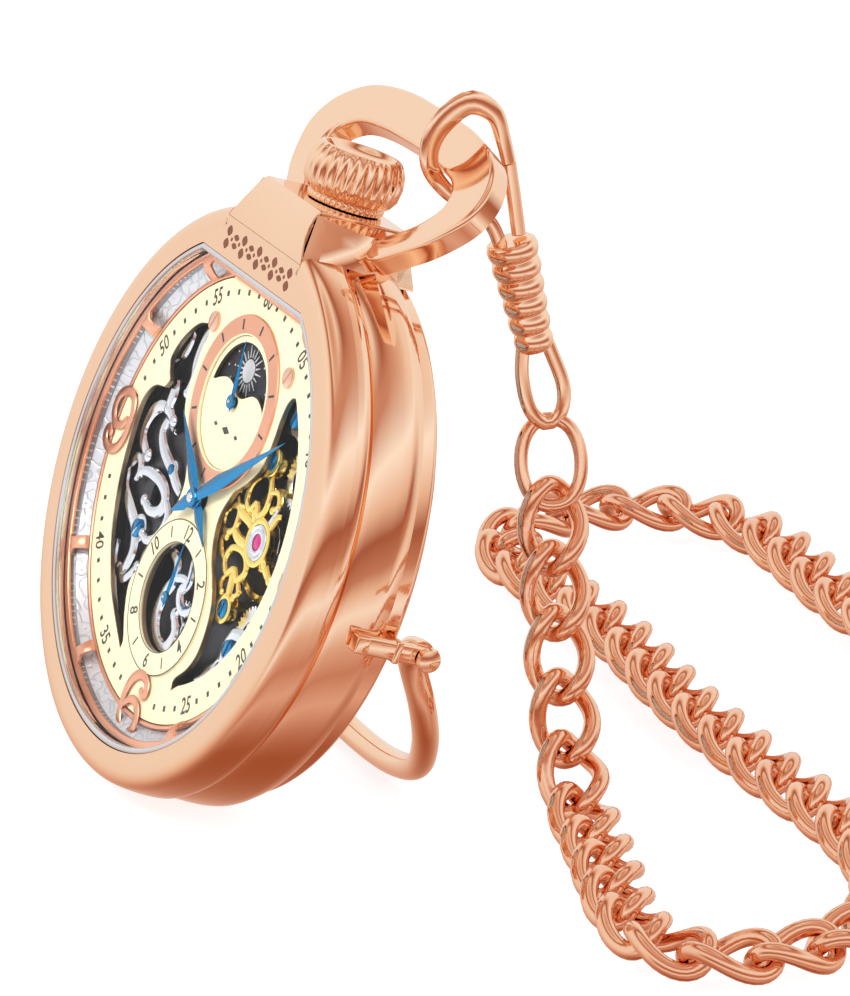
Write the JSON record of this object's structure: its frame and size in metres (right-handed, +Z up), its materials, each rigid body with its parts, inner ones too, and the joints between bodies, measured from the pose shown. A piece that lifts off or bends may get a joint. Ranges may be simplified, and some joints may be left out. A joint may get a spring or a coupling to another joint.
{
  "type": "pocket watch",
  "caption": "Open-faced skeleton pocket watch in rose gold, leaning on its folding wire stand, with swinging bow, winding crown, clasp and curb chain.",
  "frame": {"origin": "on the floor under the middle of the standing watch, measured without the chain and clasp", "axes": "+X towards 3 o'clock, +Y towards the back, +Z up; the dial faces -Y and leans back 20.5 degrees"},
  "size_m": [0.1446, 0.0793, 0.0573],
  "materials": {
    "rose_gold": "polished rose gold plating on brass",
    "rose_dial": "satin rose gold",
    "cream_dial": "cream lacquered brass",
    "bright_steel": "engraved bright steel",
    "dark_plate": "black plated brass",
    "blued_steel": "heat blued steel",
    "gilt_brass": "gilt and engraved",
    "clear_glass": "clear mineral crystal",
    "ruby": "polished ruby jewel",
    "chain_links": "polished rose gold curb links"
  },
  "bodies": {
    "case": {"bezel": "rose_gold", "front_crystal": "clear_glass", "crystal_rim": "bright_steel", "mid_case": "rose_gold", "rear_bezel": "rose_gold", "rear_crystal": "clear_glass", "pendant": "rose_gold", "bow_pin_left": "rose_gold", "bow_pin_right": "rose_gold", "stand_bracket_left": "rose_gold", "stand_bracket_right": "rose_gold", "stand_pin_left": "rose_gold", "stand_pin_right": "rose_gold", "dial_plate": "cream_dial", "dial_trim": "rose_dial", "dial_flange": "bright_steel", "hour_frame": "rose_dial", "dial_screw_left": "rose_dial", "dial_screw_right": "rose_dial", "upper_ring": "rose_dial", "upper_centre": "cream_dial", "lower_ring": "cream_dial", "main_plate": "dark_plate", "movement_holder": "dark_plate", "scroll_bridge": "bright_steel", "balance_cock": "gilt_brass", "balance_jewel": "ruby", "cock_screw_upper": "blued_steel", "cock_screw_lower": "blued_steel", "bridge_screw_upper": "blued_steel", "bridge_screw_lower": "blued_steel", "train_bridge": "bright_steel", "rotor_post": "bright_steel"},
    "minute": {"minute_hand": "blued_steel", "cannon_pinion": "bright_steel"},
    "centre": {"centre_wheel": "gilt_brass"},
    "hour": {"hour_hand": "blued_steel"},
    "dual_time": {"dual_time_hand": "blued_steel"},
    "day_night": {"day_night_hand": "blued_steel", "sun_moon_disc": "dark_plate"},
    "third": {"third_wheel": "gilt_brass"},
    "fourth": {"fourth_wheel": "gilt_brass"},
    "escape": {"escape_wheel": "bright_steel"},
    "barrel": {"mainspring_barrel": "gilt_brass"},
    "fork": {"pallet_fork": "bright_steel"},
    "balance": {"balance_wheel": "gilt_brass", "hairspring": "bright_steel"},
    "regulator_arm": {"regulator": "bright_steel"},
    "rotor": {"winding_rotor": "bright_steel"},
    "crown_slide": {"crown_collar": "rose_gold"},
    "crown_knob": {"crown": "rose_gold", "winding_stem": "bright_steel"},
    "bow_ring": {"bow": "rose_gold"},
    "clasp": {"clasp_hook": "rose_gold", "clasp_barrel": "rose_gold", "clasp_ring": "rose_gold", "chain": "chain_links", "chain_t_bar": "rose_gold"},
    "gate": {"clasp_gate": "rose_gold"},
    "stand": {"stand_loop": "rose_gold"}
  },
  "joints": [
    {"name": "minute_turn", "type": "hinge", "parent": "case", "child": "minute", "pos_m": [0, -0.00611, 0.02426], "axis": [0, 0.9367, -0.3502], "continuous": true},
    {"name": "hour_turn", "type": "hinge", "parent": "case", "child": "hour", "pos_m": [0, -0.00611, 0.02426], "axis": [0, 0.9367, -0.3502], "continuous": true},
    {"name": "dual_time_turn", "type": "hinge", "parent": "case", "child": "dual_time", "pos_m": [0, -0.00909, 0.0163], "axis": [0, 0.9367, -0.3502], "continuous": true},
    {"name": "day_night_turn", "type": "hinge", "parent": "case", "child": "day_night", "pos_m": [0, -0.00317, 0.03213], "axis": [0, 0.9367, -0.3502], "continuous": true},
    {"name": "centre_turn", "type": "hinge", "parent": "case", "child": "centre", "pos_m": [0, -0.0027, 0.02298], "axis": [0, 0.9367, -0.3502], "continuous": true},
    {"name": "barrel_turn", "type": "hinge", "parent": "case", "child": "barrel", "pos_m": [-0.0096, -0.00059, 0.0286], "axis": [0, 0.9367, -0.3502], "continuous": true},
    {"name": "third_turn", "type": "hinge", "parent": "case", "child": "third", "pos_m": [0.0062, -0.00511, 0.01652], "axis": [0, 0.9367, -0.3502], "continuous": true},
    {"name": "fourth_turn", "type": "hinge", "parent": "case", "child": "fourth", "pos_m": [-0.0016, -0.00641, 0.01306], "axis": [0, 0.9367, -0.3502], "continuous": true},
    {"name": "escape_turn", "type": "hinge", "parent": "case", "child": "escape", "pos_m": [0.0042, -0.00749, 0.01015], "axis": [0, 0.9367, -0.3502], "continuous": true},
    {"name": "balance_swing", "type": "hinge", "parent": "case", "child": "balance", "pos_m": [0.0101, -0.00615, 0.02417], "axis": [0, 0.9367, -0.3502], "range_deg": [-270, 270]},
    {"name": "fork_rock", "type": "hinge", "parent": "case", "child": "fork", "pos_m": [0.0096, -0.00669, 0.01231], "axis": [0, 0.9367, -0.3502], "range_deg": [-8.1, 8.1]},
    {"name": "regulator_shift", "type": "hinge", "parent": "case", "child": "regulator_arm", "pos_m": [0.0101, -0.00615, 0.02417], "axis": [0, 0.9367, -0.3502], "range_deg": [-15, 15]},
    {"name": "rotor_turn", "type": "hinge", "parent": "case", "child": "rotor", "pos_m": [0, -0.00021, 0.02206], "axis": [0, 0.9367, -0.3502], "continuous": true},
    {"name": "crown_pull", "type": "slide", "parent": "case", "child": "crown_slide", "axis": [0, 0.3502, 0.9367], "range_m": [0, 0.001]},
    {"name": "crown_turn", "type": "hinge", "parent": "crown_slide", "child": "crown_knob", "pos_m": [0, 0.00657, 0.04803], "axis": [0, 0.3502, 0.9367], "continuous": true},
    {"name": "bow_swing", "type": "hinge", "parent": "case", "child": "bow_ring", "pos_m": [0, 0.00594, 0.04565], "axis": [1, 0, 0], "range_deg": [0, 35]},
    {"name": "clasp_hang", "type": "hinge", "parent": "bow_ring", "child": "clasp", "pos_m": [0.006, 0.01429, 0.05235], "axis": [1, 0, 0], "range_deg": [-35, 0]},
    {"name": "gate_open", "type": "hinge", "parent": "clasp", "child": "gate", "pos_m": [0.0069, 0.01849, 0.0459], "axis": [1, 0, 0], "range_deg": [0, 18], "stiffness_Nm_per_rad": 0.002, "springref_deg": -5.73},
    {"name": "stand_fold", "type": "hinge", "parent": "case", "child": "stand", "pos_m": [0, 0.00218, 0.01817], "axis": [1, 0, 0], "range_deg": [-38.71, 0]}
  ],
  "couplings": [
    {"joint": "hour_turn", "follows": "minute_turn", "ratio": 0.083333},
    {"joint": "dual_time_turn", "follows": "minute_turn", "ratio": 0.083333},
    {"joint": "day_night_turn", "follows": "minute_turn", "ratio": 0.041667},
    {"joint": "third_turn", "follows": "fourth_turn", "ratio": -0.13333},
    {"joint": "centre_turn", "follows": "fourth_turn", "ratio": 0.016667},
    {"joint": "barrel_turn", "follows": "fourth_turn", "ratio": -0.0020833},
    {"joint": "clasp_hang", "follows": "bow_swing", "ratio": -1}
  ]
}
